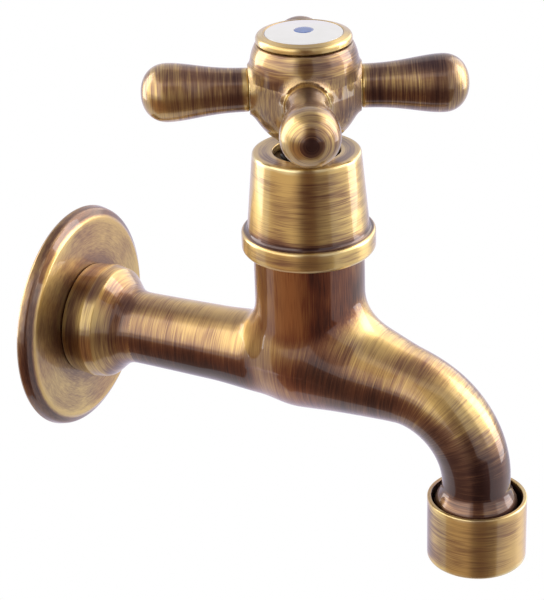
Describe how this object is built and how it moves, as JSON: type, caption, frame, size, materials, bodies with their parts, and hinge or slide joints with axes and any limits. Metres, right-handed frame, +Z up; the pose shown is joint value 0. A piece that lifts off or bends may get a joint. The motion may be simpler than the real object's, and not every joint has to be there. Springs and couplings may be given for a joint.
{
  "type": "wall bib tap",
  "caption": "Wall-mounted single-supply bib tap in antique brushed brass, with a cross handle, a porcelain button, a bell shroud and an aerator spout.",
  "frame": {"origin": "where the axis of the inlet meets the face of the wall", "axes": "+Z up; +Y into the wall along the inlet axis, so the tap stands out along -Y; +X to the right of a person who faces the wall"},
  "size_m": [0.0706, 0.1379, 0.1321],
  "materials": {
    "antique_brass": "brushed brass with a brown antique patina, lacquered",
    "plain_brass": "machined, uncoated",
    "stainless_steel": "plain stainless",
    "black_rubber": "moulded",
    "red_fibre": "pressed fibre",
    "white_plastic": "moulded",
    "white_porcelain": "glazed porcelain",
    "blue_glaze": "glazed"
  },
  "bodies": {
    "fixed": {"tap_body": "antique_brass", "wall_flange": "antique_brass", "bell_shroud": "antique_brass", "headwork_body": "plain_brass", "headwork_gasket": "red_fibre", "outlet_sleeve": "antique_brass", "aerator_gasket": "black_rubber", "aerator_filter": "stainless_steel", "jet_plate": "white_plastic", "aerator_cage": "white_plastic", "outlet_mesh": "stainless_steel"},
    "handle": {"spindle": "plain_brass", "spindle_o_rings": "black_rubber", "glide_washer": "white_plastic", "spindle_circlip": "stainless_steel", "handle_hub": "antique_brass", "spline_bush": "white_plastic", "arm_front": "antique_brass", "arm_right": "antique_brass", "arm_back": "antique_brass", "arm_left": "antique_brass", "handle_screw": "stainless_steel", "screw_washer": "stainless_steel", "index_bezel": "antique_brass", "index_disc": "white_porcelain", "index_mark": "blue_glaze"},
    "valve": {"valve_carrier": "plain_brass", "valve_washer": "black_rubber", "washer_screw": "stainless_steel"}
  },
  "joints": [
    {"name": "handle_turn", "type": "hinge", "parent": "fixed", "child": "handle", "pos_m": [0, -0.0689, 0.0725], "axis": [0, 0, 1], "range_deg": [0, 900]},
    {"name": "valve_lift", "type": "slide", "parent": "fixed", "child": "valve", "axis": [0, 0, 1], "range_m": [0, 0.005]}
  ],
  "couplings": [
    {"joint": "valve_lift", "follows": "handle_turn", "m_per_rad": 0.00031831}
  ]
}
